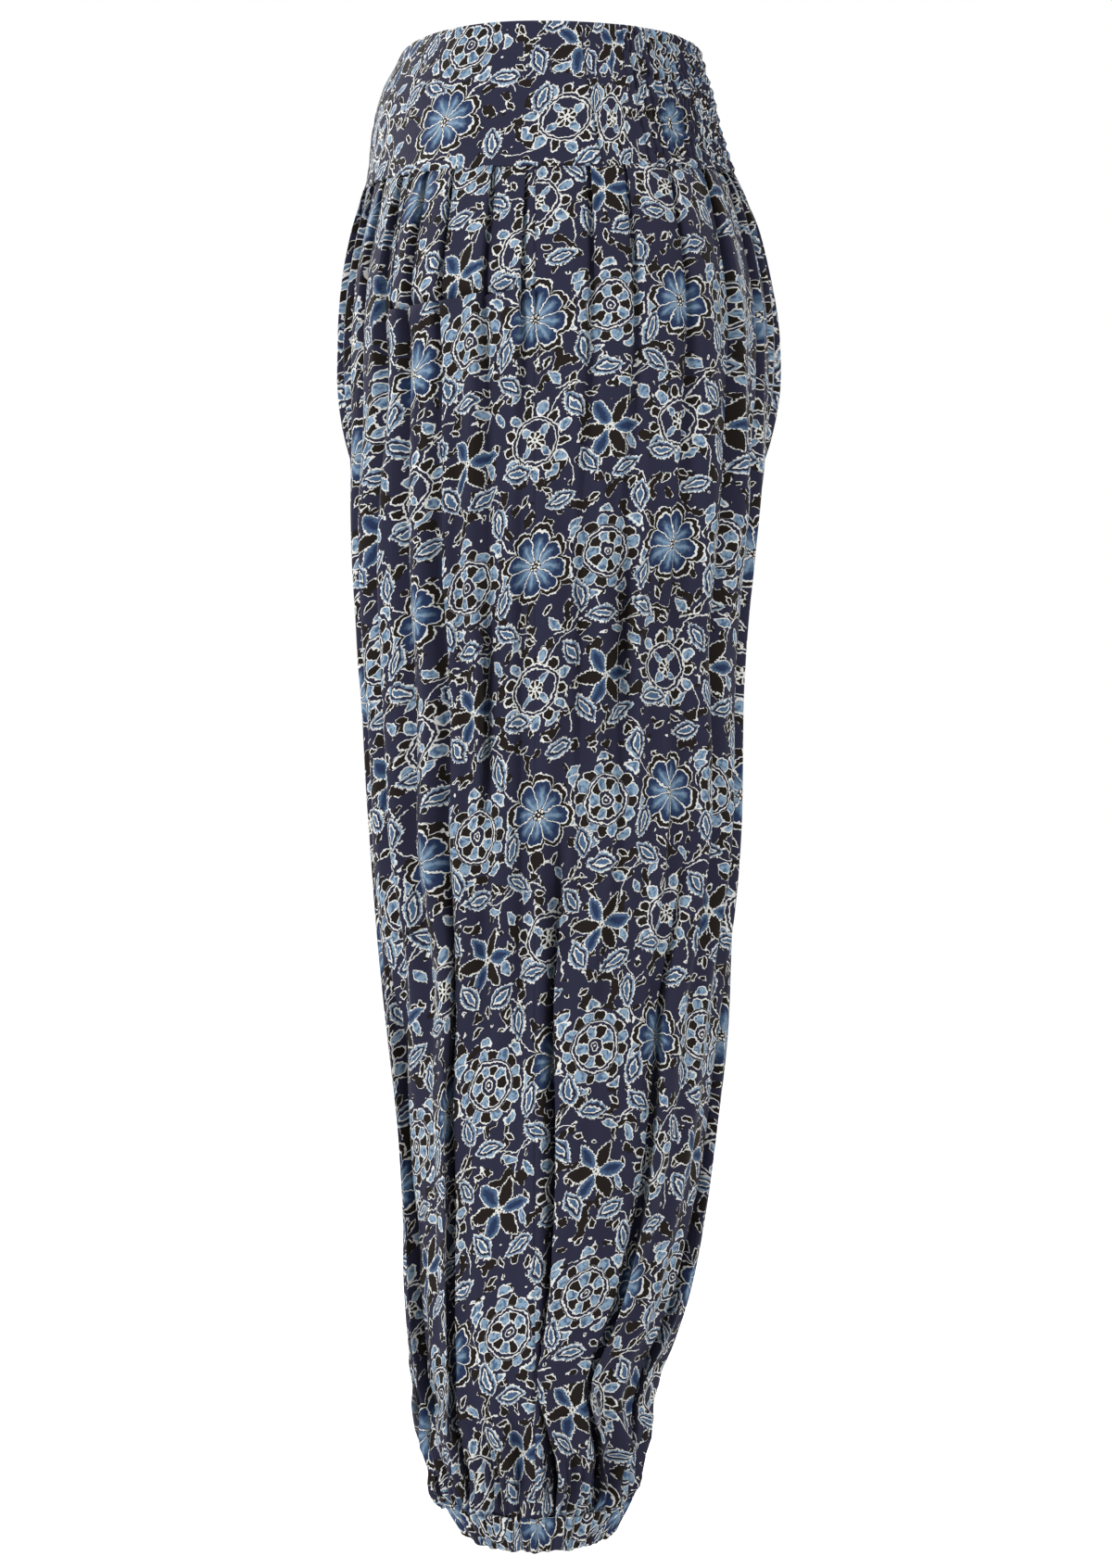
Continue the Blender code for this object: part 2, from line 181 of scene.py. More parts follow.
def outlines(levels, panel):
    """The left panel's outline at each level, as X and Y from its inner edge to the side seam."""
    depth = along(OUTLINE, levels, FRONT_Y if panel == "front" else BACK_Y)[:, None]
    outer = along(OUTLINE, levels, OUTER_X)[:, None]
    inner = along(OUTLINE, levels, INNER_X)[:, None]
    turn = np.linspace(0, 1, PLACE_STEPS)[None, :]
    hip_x = outer * squared(np.sin(turn * math.pi / 2), BAND_CORNERS[panel])
    hip_y = squared(np.cos(turn * math.pi / 2), BAND_CORNERS[panel])
    half = (outer - inner) / 2
    leg_x = (outer + inner) / 2 - half * squared(np.cos(turn * math.pi), LEG_CORNER)
    leg_y = squared(np.sin(turn * math.pi), LEG_CORNER)
    rise = np.clip((levels - CROTCH) / (HIP_TOP - CROTCH), 0, 1)[:, None]
    share = smooth(rise)
    seam = (1 - (1 - rise) ** 2) ** SEAM_ROUNDNESS
    extra = (seam**SEAM_BLEND - share**SEAM_BLEND) * (1 - turn) ** SEAM_BLEND
    y = np.maximum(share * hip_y + (1 - share) * leg_y, 0)
    y = (y**SEAM_BLEND + extra) ** (1 / SEAM_BLEND)
    edge = SEAM_Y * (turn + (1 - turn) * share)
    y = edge + (depth - edge) * y / y.max(axis=1, keepdims=True)
    return share * hip_x + (1 - share) * leg_x, y


def arc_lengths(x, y):
    return np.concatenate([[0], np.cumsum(np.hypot(np.diff(x), np.diff(y)))])


def unit(vectors):
    return vectors / np.linalg.norm(vectors, axis=-1, keepdims=True)


class Form:
    """The smooth form of a left panel: its points, outward normals and outline lengths."""

    def __init__(self, panel):
        self.panel = panel
        levels = np.linspace(0, CASING_FOOT, LEVEL_STEPS)
        places = np.linspace(0, 1, PLACE_STEPS)
        points = np.zeros((LEVEL_STEPS, PLACE_STEPS, 3))
        self.lengths = np.zeros(LEVEL_STEPS)
        for row, (x, y) in enumerate(zip(*outlines(levels, panel))):
            run = arc_lengths(x, y)
            self.lengths[row] = run[-1]
            points[row, :, 0] = np.interp(places * run[-1], run, x)
            points[row, :, 1] = np.interp(places * run[-1], run, y)
        near_ankle = (ANKLE_DIP_FROM - levels) / (ANKLE_DIP_FROM - CASING_TOP)
        lift = ANKLE_DIP * np.clip(near_ankle, 0, 1)[:, None] ** 2
        points[..., 2] = levels[:, None] + lift * np.cos(math.pi * places)
        normals = np.cross(np.gradient(points, axis=0), np.gradient(points, axis=1))
        normals *= 1 if panel == "front" else -1
        self.points = points
        self.normals = unit(normals)

    def sampled(self, table, level, place):
        row = np.clip(level / CASING_FOOT, 0, 1) * (LEVEL_STEPS - 1)
        column = np.clip(place, 0, 1) * (PLACE_STEPS - 1)
        i = np.minimum(row.astype(int), LEVEL_STEPS - 2)
        j = np.minimum(column.astype(int), PLACE_STEPS - 2)
        u, v = (row - i)[..., None], (column - j)[..., None]
        above = (1 - v) * table[i, j] + v * table[i, j + 1]
        below = (1 - v) * table[i + 1, j] + v * table[i + 1, j + 1]
        return (1 - u) * above + u * below

    def at(self, level, place):
        """Points and unit normals at levels and at shares of the outline."""
        points = self.sampled(self.points, level, place)
        return points, unit(self.sampled(self.normals, level, place))

    def length(self, level):
        rows = np.clip(np.asarray(level) / CASING_FOOT, 0, 1) * (LEVEL_STEPS - 1)
        return np.interp(rows, np.arange(LEVEL_STEPS), self.lengths)


FORMS = {panel: Form(panel) for panel in ("front", "back")}


def value_noise(x, y, seed):
    """Smooth noise from -1 to 1 over a grid of unit cells."""
    size = 64
    lattice = np.random.default_rng(seed).uniform(-1, 1, (size, size))
    i, j = np.floor(x).astype(int), np.floor(y).astype(int)
    u, v = smooth(x - i), smooth(y - j)
    corners = [lattice[(i + a) % size, (j + b) % size] for a in (0, 1) for b in (0, 1)]
    left = corners[0] * (1 - v) + corners[1] * v
    right = corners[2] * (1 - v) + corners[3] * v
    return left * (1 - u) + right * u


def ruffle(turns):
    """Round ridges with sharp valleys between, from -1 to 1."""
    return 2 * np.sqrt(np.abs(np.cos(math.pi * turns))) - 1


def gathered_place(turns, pitch, fullness):
    """Distance along cloth gathered into ridges, most of whose spare is down in the valleys."""
    hidden = (fullness - 1) * np.sin(2 * math.pi * turns) / (2 * math.pi)
    return pitch * (fullness * turns - hidden)


def cloth_width(panel, level):
    """Width of a leg panel's cloth, which the crotch curve narrows as it narrows the form."""
    form = FORMS[panel]
    cut = smooth((level - CROTCH) / (HIP_TOP - CROTCH))
    at_crotch = PANEL_WIDTH / form.length(CROTCH)
    at_hip = PANEL_WIDTH_AT_HIP / form.length(HIP_TOP)
    fullness = at_crotch + (at_hip - at_crotch) * cut
    return fullness * form.length(np.clip(level, CROTCH, HIP_TOP))


def cloth_place(panel, across, level):
    """Distance across the flat cloth from the side seam, which is at 1, to the inner edge, at 0."""
    out = 1 - across
    cut = 1 - cloth_width(panel, level) / PANEL_WIDTH
    return out * PANEL_WIDTH * (1 - out**WIDTH_CROWDING * cut)


def folds_at(panel, level):
    """Each pleat and fold at some levels: place, cloth hidden, width of its turn, rise, reach."""
    release = smooth((PLEAT_RELEASE[0] - level) / (PLEAT_RELEASE[0] - PLEAT_RELEASE[1]))
    spare = np.maximum(cloth_width(panel, level) - FORMS[panel].length(level) * 1.02, 0)
    pressed = smooth((level + 0.125) / 0.03)
    for number, place in enumerate(PLEATS[panel]):
        hidden = spare / len(PLEATS[panel]) * (1 - release)
        fade = 1 - 0.75 * smooth((-0.45 - level) / 0.25 + 0.2 * math.sin(5 * number))
        rise = PLEAT_RISE * fade * (1 - 0.6 * pressed)
        turn = FOLD_SPREAD * hidden + 0.003 + 0.013 * release
        yield place, hidden, turn, rise, PLEAT_REACH
    crumpled = 1 - 0.55 * smooth((-0.86 - level) / 0.08)
    for side, top, top_place, foot, foot_place, share, height, reach in FOLDS:
        if side != panel:
            continue
        down = np.clip((top - level) / (top - foot), 0, 1)
        runs_on = foot < -0.88
        strength = smooth(3 * down) if runs_on else np.sin(math.pi * down)
        place = top_place + (foot_place - top_place) * down
        near_casing = 1 - 0.7 * smooth((-0.925 - level) / 0.03)
        hidden = share * spare * strength * crumpled
        turn = FOLD_SPREAD * hidden + 0.005
        yield place, hidden, turn, height * strength * near_casing, reach


def folded(panel, level, cloth):
    """How far the folds pull cloth back, and how far they lift it, at places across it."""
    pulled = np.zeros(cloth.shape)
    lifted = np.zeros(cloth.shape)
    for place, hidden, turn, rise, reach in folds_at(panel, level):
        share = smooth((cloth - place) / turn + 0.5)
        pulled += hidden * share
        lifted += rise * (2 * share - 1) * np.exp(-(((cloth - place) / (reach + turn / 2)) ** 2))
        lip = place + np.minimum(turn / 2 - hidden, -turn / 2)
        wider = 0.5 * rise
        into = smooth((cloth - lip + TRENCH_WIDTH + wider) / (TRENCH_WALL + wider))
        lifted -= TRENCH_SHARE * rise * np.maximum(into - share, 0)
    return pulled, lifted


def gathers(panel, level, cloth, fullness):
    """Soft ridges where the cloth is fuller than the form, and fine gathers at the casing."""
    seed = 3 if panel == "front" else 7
    slack = np.sqrt(np.maximum(fullness - 1, 0))
    drift = value_noise(cloth * 22 + 5, level * 5 + 40, seed)
    soft = np.minimum(0.033 / math.pi * slack * 0.8, 0.0042)
    soft = soft * (0.35 + 0.65 * smooth((-0.12 - level) / 0.12))
    soft = soft * (1 - 0.75 * smooth((-0.925 - level) / 0.03))
    rise = soft * np.cos(2 * math.pi * (cloth / 0.033 + 0.45 * drift))
    near = smooth((-0.895 - level) / 0.045)
    fine = ruffle(cloth / 0.0105 + 0.5 * value_noise(cloth * 60, level * 12, seed + 1))
    sunk = 0.0036 - 0.0018 * smooth((-0.925 - level) / 0.02)
    rise = rise + near * (0.0038 * fine - sunk)
    rise = rise + BLOUSE * np.exp(-(((level - CASING_TOP - 0.007) / 0.008) ** 2))
    waist = smooth((level + 0.135) / 0.04)
    small = np.cos(2 * math.pi * (cloth / 0.011 + 0.4 * value_noise(cloth * 50, level * 6, seed + 2)))
    return rise + 0.00035 * waist * small


def wrinkles(panel, level, cloth):
    """Faint creases all over, longer down the leg than across it, and deeper at the ankle."""
    seed = 11 if panel == "front" else 17
    ankle = smooth((-0.84 - level) / 0.08)
    broad = 0.0011 * value_noise(cloth * 17, level * 6 + 30, seed)
    middle = 0.00045 * value_noise(cloth * 52, level * 20 + 40, seed + 1)
    crumple = 0.0050 * value_noise(cloth * 28 + level * 40, level * 45 + 60, seed + 2)
    across = 0.0016 * value_noise(cloth * 40, level * 90 + 90, seed + 3)
    return broad + middle + ankle * (crumple + across)


def crotch_strain(panel, level, cloth):
    """Soft folds that fan out from the crotch point down the inner leg."""
    inner = np.maximum(cloth_width(panel, level) - cloth, 0)
    drop = np.maximum(CROTCH + 0.06 - level, 0)
    angle = np.arctan2(inner, drop + 0.04)
    away = np.exp(-(((inner - 0.06) / 0.07) ** 2)) * np.exp(-(((drop - 0.09) / 0.12) ** 2))
    return 0.0026 * away * np.cos(angle * 9)


def laid(panel, level, across):
    """Where a panel's cloth lies on its form: cloth place, outline share, fullness and lift."""
    cloth = cloth_place(panel, across, level)
    width = cloth_width(panel, level)
    pulled, lifted = folded(panel, level, cloth)
    start = folded(panel, level, np.zeros(cloth.shape))[0]
    end = folded(panel, level, width * np.ones(cloth.shape))[0]
    whole = width - end + start
    place = 1 - (cloth - pulled + start) / whole
    return cloth, place, whole / FORMS[panel].length(level), lifted


def draped(panel, level, across):
    """Points, normals, lift and cloth places of a leg panel's cloth."""
    cloth, place, fullness, lifted = laid(panel, level, across)
    points, normals = FORMS[panel].at(level, place)
    lifted = lifted + gathers(panel, level, cloth, fullness)
    lifted = lifted + wrinkles(panel, level, cloth) + crotch_strain(panel, level, cloth)
    lifted = lifted - SINK * smooth((-0.15 - level) / 0.15)
    to_edge = np.minimum(cloth, cloth_width(panel, level) - cloth)
    lifted = lifted * smooth(to_edge / 0.012) - 0.0009 * np.exp(-((to_edge / 0.003) ** 2))
    return points, normals, lifted, cloth


def band_foot(place, panel):
    """Level of the waistband seam at a share of the outline from the centre to the side."""
    centre = BAND_FRONT if panel == "front" else BAND_BACK
    return -(centre + (BAND_SIDE - centre) * np.sin(place * math.pi / 2))


def band_top(place):
    return -BAND_DIP * np.cos(place * math.pi / 2) ** 2


def mouth_level(across):
    """Level of the pocket mouth, which is level from its front end to the centre seam."""
    share = np.maximum(across - POCKET_ACROSS, 0) / (1 - POCKET_ACROSS)
    return -(MOUTH_FRONT + (MOUTH_SIDE - MOUTH_FRONT) * share)


def columns_of(panel):
    """Places across a panel where its mesh has columns, closest together at the pleats."""
    places = np.linspace(0, 1, 2001)
    cloth_at_waist = cloth_place(panel, places, -BAND_SIDE)
    found = [1 - np.arange(0, PANEL_WIDTH, COLUMN_PITCH) / PANEL_WIDTH, [0.0]]
    for pleat in PLEATS[panel]:
        near = pleat + np.linspace(-0.5, 0.5, PLEAT_COLUMNS) * PLEAT_COLUMNS_ACROSS
        found.append(np.interp(-near, -cloth_at_waist, places))
    found = np.sort(np.concatenate(found))
    fixed = (0.0, POCKET_ACROSS, 1.0)
    clear = [place for place in found if min(abs(place - f) for f in fixed) > 0.002]
    kept = sorted(clear + list(fixed))
    return np.array([b for a, b in zip([-1.0] + kept, kept) if b - a > 0.0008 or b in fixed])


def leg_levels(panel, across):
    """The levels down a leg panel at places across it: waist seam, mouth, crotch, casing."""
    waist = np.full(across.shape, -BAND_SIDE)
    seam = band_foot(laid(panel, waist, across)[1], panel)
    mouth = mouth_level(across)
    crotch = np.full(across.shape, CROTCH)
    foot = np.full(across.shape, CASING_TOP - CASING_LAP)
    rows = (
        np.linspace(seam + WAIST_LAP, mouth, ROWS_TO_MOUTH + 1),
        np.linspace(mouth, crotch, ROWS_TO_CROTCH + 1)[1:],
        np.linspace(crotch, foot, ROWS_TO_CASING + 1)[1:],
    )
    return np.concatenate(rows), seam


def print_slant(toward_back):
    """How much higher the print lies towards the back than at the side seam."""
    return 0.24 * toward_back - 0.9 * toward_back**2


def fall(levels, points):
    """Length down the cloth, which is 0.35 at the level -0.35: every column falls alike."""
    drops = -np.diff(levels, axis=0)
    slopes = np.linalg.norm(np.diff(points, axis=0), axis=2) / drops
    steps = np.median(slopes, axis=1, keepdims=True) * drops
    down = np.concatenate([np.zeros((1, points.shape[1])), np.cumsum(steps, axis=0)])
    for column in range(points.shape[1]):
        at = np.interp(0.35, -levels[:, column], down[:, column])
        down[:, column] += 0.35 - at
    return down


def add_cloth(name, points, uv, materials, flip=False, keep=None, ring=False,
              closed=False, thickness=CLOTH):
    """A sheet over a grid of points, with its flat-cloth places as UVs and a shown reverse."""
    rows, columns = points.shape[:2]
    if closed:
        uv = np.concatenate([uv, uv[:1]])
    across = columns if ring else columns - 1
    down = rows if closed else rows - 1
    r, c = np.meshgrid(np.arange(down), np.arange(across), indexing="ij")
    if keep is not None:
        r, c = r[keep], c[keep]
    r, c = r.ravel(), c.ravel()
    next_r, next_c = (r + 1) % rows, (c + 1) % columns
    corners = [r * columns + c, r * columns + next_c, next_r * columns + next_c, next_r * columns + c]
    faces = np.stack(corners if not flip else corners[::-1], axis=1)
    # UVs don't wrap round, so each face corner reads its own unwrapped grid place
    places = [(r, c), (r, c + 1), (r + 1, c + 1), (r + 1, c)]
    places = places if not flip else places[::-1]
    corner_uv = np.stack([uv[i, j] for i, j in places], axis=1)
    used, index = np.unique(faces, return_inverse=True)
    polygons = index.reshape(faces.shape).tolist()
    corner_uv = corner_uv.reshape(-1, 2)
    if closed and not ring:
        for column, turned in ((0, flip), (columns - 1, not flip)):
            loop = np.arange(rows)[:: -1 if turned else 1]
            polygons.append(np.searchsorted(used, loop * columns + column).tolist())
            corner_uv = np.concatenate([corner_uv, uv[loop, column]])
    data = bpy.data.meshes.new(name)
    data.from_pydata(points.reshape(-1, 3)[used].tolist(), [], polygons)
    layer = data.uv_layers.new(name="cloth")
    layer.data.foreach_set("uv", corner_uv.astype(np.float32).ravel())
    for material in materials:
        data.materials.append(material)
    data.shade_smooth()
    obj = bpy.data.objects.new(name, data)
    bpy.context.scene.collection.objects.link(obj)
    if thickness:
        shell = obj.modifiers.new("cloth", "SOLIDIFY")
        shell.thickness = thickness
        shell.offset = -1
        shell.material_offset = 1
        shell.material_offset_rim = 0
    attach(obj, "root")
    return obj


def mirrored(points, side):
    return points * np.array([1 if side == "left" else -1, 1, 1])


def flat_places(cloth, down, levels, panel, side):
    """UVs of a leg panel: the print runs on across the side seam and isn't mirrored."""
    toward_back = cloth if panel == "back" else -cloth
    below = (DRIFT_LEVELS[0] - levels) / (DRIFT_LEVELS[0] - DRIFT_LEVELS[1])
    toward_back = toward_back - PRINT_DRIFT * np.clip(below, 0, 1)
    u = toward_back if side == "left" else -toward_back
    return np.stack([u, down - FLOWER_LEVEL + print_slant(toward_back)], axis=-1)


def add_leg(panel, side, materials):
    across = columns_of(panel)
    levels, seam = leg_levels(panel, across)
    places = np.broadcast_to(across, levels.shape)
    points, normals, lifted, cloth = draped(panel, levels, places)
    uv = flat_places(cloth, fall(levels, points), levels, panel, side)
    under_band = 1 - smooth((seam - levels + WAIST_LAP) / 0.007)
    under_casing = 1 - smooth((levels - CASING_TOP + CASING_LAP) / 0.006)
    lifted = lifted - LAP_DEPTH * under_band - LAP_DEPTH * under_casing
    into_casing = smooth((CASING_TOP + 0.007 - levels) / 0.006)
    lifted = lifted + into_casing * np.maximum(-CASING_REACH - lifted, 0)
    keep = np.ones((levels.shape[0] - 1, levels.shape[1] - 1), bool)
    if panel == "front":
        first = int(np.argmin(np.abs(across - POCKET_ACROSS)))
        keep[:ROWS_TO_MOUTH, first:] = False
        below_mouth = np.maximum(mouth_level(across) - levels, 0)
        over_pocket = smooth((across - POCKET_ACROSS + 0.01) / 0.02)
        lifted = lifted + HEM_LIFT * over_pocket * np.exp(-((below_mouth / 0.012) ** 2))
    points = points + normals * lifted[..., None]
    points[..., 0] = np.maximum(points[..., 0], SEAM_GAP / 2)
    points[:, 0, 0] *= levels[:, 0] < PARTING
    flip = (panel == "front") != (side == "right")
    name = f"leg_{panel}_{side}"
    piece = add_cloth(
        name + "_cloth", mirrored(points, side), uv, materials, flip, keep
    )
    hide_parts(name)
    return piece


def add_pocket(side, materials):
    """The facing above the mouth and the bag that runs on behind the leg."""
    across = columns_of("front")
    across = across[across >= POCKET_ACROSS - 1e-9]
    levels, seam = leg_levels("front", across)
    above = levels[: ROWS_TO_MOUTH + 1]
    mouth = mouth_level(across)
    behind = np.linspace(mouth, np.full(across.shape, BAG_FOOT), BAG_ROWS + 1)[1:]
    levels = np.concatenate([above, behind])
    places = np.broadcast_to(across, levels.shape)
    points, normals, lifted, cloth = draped("front", levels, places)
    uv = flat_places(cloth, fall(levels, points), levels, "front", side)
    uv = uv + np.array([FACING_PRINT_SHIFT[0] * (1 if side == "left" else -1), FACING_PRINT_SHIFT[1]])
    lifted = lifted - LAP_DEPTH * (1 - smooth((seam - levels + WAIST_LAP) / 0.007))
    to_mouth = levels - mouth
    lifted = lifted - BAG_DEPTH * smooth((0.008 - to_mouth) / 0.011)
    front_edge = np.exp(-(((across - POCKET_ACROSS) * PANEL_WIDTH / 0.004) ** 2))
    lifted = lifted + 0.0004 * front_edge
    points = points + normals * lifted[..., None]
    flip = side != "right"
    piece = add_cloth(
        f"pocket_{side}_cloth", mirrored(points, side), uv, materials, flip
    )
    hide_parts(f"pocket_{side}")
    return piece


def rolled_profile(outer, rounded, inner, thickness):
    """A doubled band's section: share of its height, depth and height beyond its edges."""
    rows = [(share, 0.0, 0.0) for share in np.linspace(0, 1, outer)]
    half = thickness / 2
    turn = np.linspace(0, math.pi, rounded + 2)[1:-1]
    rows += [(1.0, half - half * math.cos(a), half * math.sin(a)) for a in turn]
    rows += [(share, thickness, 0.0) for share in np.linspace(1, 0, inner)]
    rows += [(0.0, half + half * math.cos(a), -half * math.sin(a)) for a in turn]
    return np.array(rows)


def joint_share(level):
    """Where across the back the shirring starts, as a share of the outline."""
    start = SHIRRED_FROM_TOP + (SHIRRED_FROM_FOOT - SHIRRED_FROM_TOP) * level / -BAND_SIDE
    (x,), (y,) = outlines(np.array([level]), "back")
    run = arc_lengths(x, y)
    return float(np.interp(-start, -y, run / run[-1]))


def joint_line(heights, shift):
    """The joint of the waistband's two pieces: outline shares at shares of its height."""
    foot, top = joint_share(-BAND_SIDE), joint_share(0.0)
    return foot + (top - foot) * heights + shift


def band_grid(panel, profile, shares):
    """Points, normals and arc lengths of a band's closed section at shares (rows, columns)."""
    top, foot = band_top(shares), band_foot(shares, panel)
    level = foot + (top - foot) * profile[:, :1]
    points, normals = FORMS[panel].at(level, shares)
    points[..., 2] = level + profile[:, 2:]
    normals = unit(normals * (1, 1, 0))
    run = shares * FORMS[panel].length(np.full(shares.shape, -BAND_SIDE / 2))
    return points, normals, run, level


def band_print(level, run):
    """UVs of a band, whose print is turned a quarter round: run starts at the side seam."""
    down = -level - BAND_FLOWER[0]
    return np.stack([down, run - BAND_FLOWER[1] - BAND_SLANT * down], axis=-1)


def joined_halves(points, run, level):
    """Grids that start at the centre, each after its mirror image."""
    halves = ((points * (-1, 1, 1), points), (-run, run), (level, level))
    return [np.concatenate([right[:, :0:-1], left], axis=1) for right, left in halves]


def add_waistband_front(materials):
    """The flat front piece, from the shirring on one side round to the other side's."""
    profile = rolled_profile(40, 5, 12, BAND_THICKNESS)
    heights = profile[:, :1]
    joint = joint_line(heights, JOINT_HALF_GAP)
    steps = np.linspace(0, 1, BAND_BACK_STEPS + 1)[1:]
    shares = np.tile(np.linspace(0, 1, BAND_FRONT_STEPS + 1), (len(profile), 1))
    front = band_grid("front", profile, shares)
    back = band_grid("back", profile, 1 - (1 - joint) * steps)
    side_run = front[2][:, -1:]
    back_run = side_run + FORMS["back"].length(-BAND_SIDE / 2) - back[2]
    points = np.concatenate([front[0], back[0]], axis=1)
    normals = np.concatenate([front[1], back[1]], axis=1)
    run = np.concatenate([front[2], back_run], axis=1)
    level = np.concatenate([front[3], back[3]], axis=1)
    normals[:, 0] = (0, -1, 0)
    outward = 0.0010 - profile[:, 1:2]
    relief = 0.0005 * value_noise(run * 30 + 9, level * 70 + 50, 21)
    relief = relief + 0.00035 * value_noise(run * 12, level * 160 + 80, 22)
    puff = 0.0006 * np.sin(math.pi * heights)
    outer_face = (profile[:, 1:2] == 0) * 1.0
    points = points + normals * (outward + (relief + puff) * outer_face)[..., None]
    points, run, level = joined_halves(points, run, level)
    uv = band_print(level, side_run[:1, :1] - run)
    piece = add_cloth("waistband_front_cloth", points, uv, materials,
                      closed=True, thickness=0)
    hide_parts("waistband_front")
    return piece


def add_waistband_back(materials):
    """The shirred back piece: fine upright ruffles held by rows of elastic thread."""
    profile = rolled_profile(46, 5, 12, BAND_THICKNESS)
    joint = joint_line(profile[:, :1], -JOINT_HALF_GAP)
    shares = joint * np.linspace(0, 1, SHIRRED_STEPS + 1)
    points, normals, run, level = band_grid("back", profile, shares)
    normals[:, 0] = (0, 1, 0)
    row_phase = level / ELASTIC_PITCH
    held = 0.5 + 0.5 * np.cos(2 * math.pi * row_phase)
    drift = value_noise(run * 70 + 3, np.floor(row_phase) * 0.83 + level * 30 + 60, 31)
    turns = run / RUFFLE_PITCH + 0.38 * drift
    ridge = ruffle(turns)
    lively = 0.75 + 0.35 * value_noise(run * 120, level * 110 + 50, 33)
    ends = smooth((joint * run.max() - run) / 0.004)
    relief = RUFFLE_HEIGHT * ridge * lively * (1 - 0.45 * held) - ELASTIC_DEPTH * held
    relief = relief + 0.0006 * value_noise(run * 45, level * 45 + 20, 34)
    outer_face = profile[:, 1:2] == 0
    inner_face = profile[:, 1:2] >= BAND_THICKNESS - 1e-9
    relief = relief * ends * np.where(outer_face, 1.0, np.where(inner_face, 0.5, 0.75))
    points = points + normals * (0.0001 - profile[:, 1:2] + relief)[..., None]
    run = gathered_place(turns, RUFFLE_PITCH, SHIRRING_FULLNESS)
    points, run, level = joined_halves(points, run, level)
    uv = band_print(level, run)
    piece = add_cloth("waistband_back_cloth", points, uv, materials,
                      flip=True, closed=True, thickness=0)
    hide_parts("waistband_back")
    return piece


def add_cuff(side, materials):
    """An ankle casing: a doubled ring of fine gathers over its elastic."""
    profile = rolled_profile(14, 4, 8, CUFF_THICKNESS)
    heights = profile[:, :1]
    shares = np.linspace(0, 1, CUFF_STEPS + 1)
    level = CASING_FOOT + (CASING_TOP + 0.001 - CASING_FOOT) * heights + 0 * shares
    front, back = [form.at(level, np.broadcast_to(shares, level.shape)) for form in FORMS.values()]
    points, normals = [np.concatenate([f[:, :-1], b[:, :0:-1]], axis=1) for f, b in zip(front, back)]
    points[..., 2] += profile[:, 2:]
    normals = unit(normals * (1, 1, 0))
    turn = np.linspace(0, 1, points.shape[1], endpoint=False)[None, :]
    circle = np.stack([np.cos(2 * math.pi * turn), np.sin(2 * math.pi * turn)])
    drift = value_noise(circle[0] * 9 + 20, circle[1] * 9 + 20 + heights * 0.7, 41)
    ridges = turn * CUFF_RUFFLES + 0.45 * drift
    ridge = ruffle(ridges)
    lively = 0.8 + 0.4 * value_noise(circle[0] * 14 + 30, circle[1] * 14 + 30, 42)
    channel = np.sin(math.pi * heights) ** 0.7
    relief = CUFF_RUFFLE * ridge * lively * (1 - 0.35 * channel) + 0.0007 * channel
    outer = profile[:, 1:2] == 0
    relief = relief * np.where(outer, 1.0, 0.6)
    points = points + normals * (-0.0004 - profile[:, 1:2] + relief)[..., None]
    points[..., 2] += 0.0014 * value_noise(circle[0] * 11 + 50, circle[1] * 11 + 50, 43)
    run = gathered_place(ridges, CUFF_ROUND / CUFF_RUFFLES, CASING_FULLNESS)
    run = np.concatenate([run, run[:, :1] + CUFF_ROUND * CASING_FULLNESS], axis=1)
    run = run * (1 if side == "left" else -1)
    down = np.broadcast_to(-profile[:, :1] * 0.020 - profile[:, 1:2] * 3, run.shape)
    uv = np.stack([run, down + 0.02], axis=-1)
    piece = add_cloth(f"cuff_{side}_cloth", mirrored(points, side), uv,
                      materials, flip=side == "right", ring=True, closed=True, thickness=0)
    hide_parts(f"cuff_{side}")
    return piece


# The print, in millimetres of flat cloth
REPEAT = (100.0, 157.5)
# Almond leaves with an eye, each: place across and down the repeat, turn in degrees
EYES = (
    (32, 24, 80), (17, -38, -12), (26, 60, 55), (80, 38, 38), (73, -33, 88),
    (77, 17, -72), (62, -53, -25), (87, -61, 4), (36, -60, 62), (47, 39, 4),
)
EYE_SIZE = (11.0, 5.8)
LEAVES = (
    (28, -22, -35), (70, -17, 40), (73, 58, 60), (86, 47, -55), (13, 40, 50), (66, -70, 70),
    (12, -58, -40), (22, 6, -80), (60, 50, 20),
)
LEAF_SIZE = (6.5, 3.0)
BUDS = (
    (26, -6, 85), (25, 42, -60), (8, 30, -50), (75, 2, 70), (8, -46, 30), (92, -43, -35),
    (62, 36, 45), (38, 54, 20), (91, 31, 60), (41, -36, -30), (67, -42, -70), (96, 48, 15),
    (70, 76, 80), (30, 80, -80), (49, -46, 75),
)
BUD_SIZE = (4.6, 2.2)
# Stems, each: centre across and down, radius, the middle of the arc and how much of it shows
STEMS = (
    (14, 28, 19, 20, 0.3), (66, 22, 24, 120, 0.2), (4, -52, 22, -60, 0.25),
    (92, -28, 18, 170, 0.3), (30, 66, 20, -150, 0.2), (60, -36, 17, -20, 0.3),
    (84, 60, 21, -110, 0.25),
)
NAVY, DEEP, MID = (0.0150, 0.0152, 0.0320, 1), (0.012, 0.022, 0.058, 1), (0.046, 0.083, 0.145, 1)
LIGHT, CREAM = (0.156, 0.229, 0.306, 1), (0.490, 0.490, 0.466, 1)
BROWN, BLACK = (0.0095, 0.0068, 0.0055, 1), (0, 0, 0, 1)
REVERSE = (0.09, 0.094, 0.118, 1)
THREAD_PITCH = 0.00032


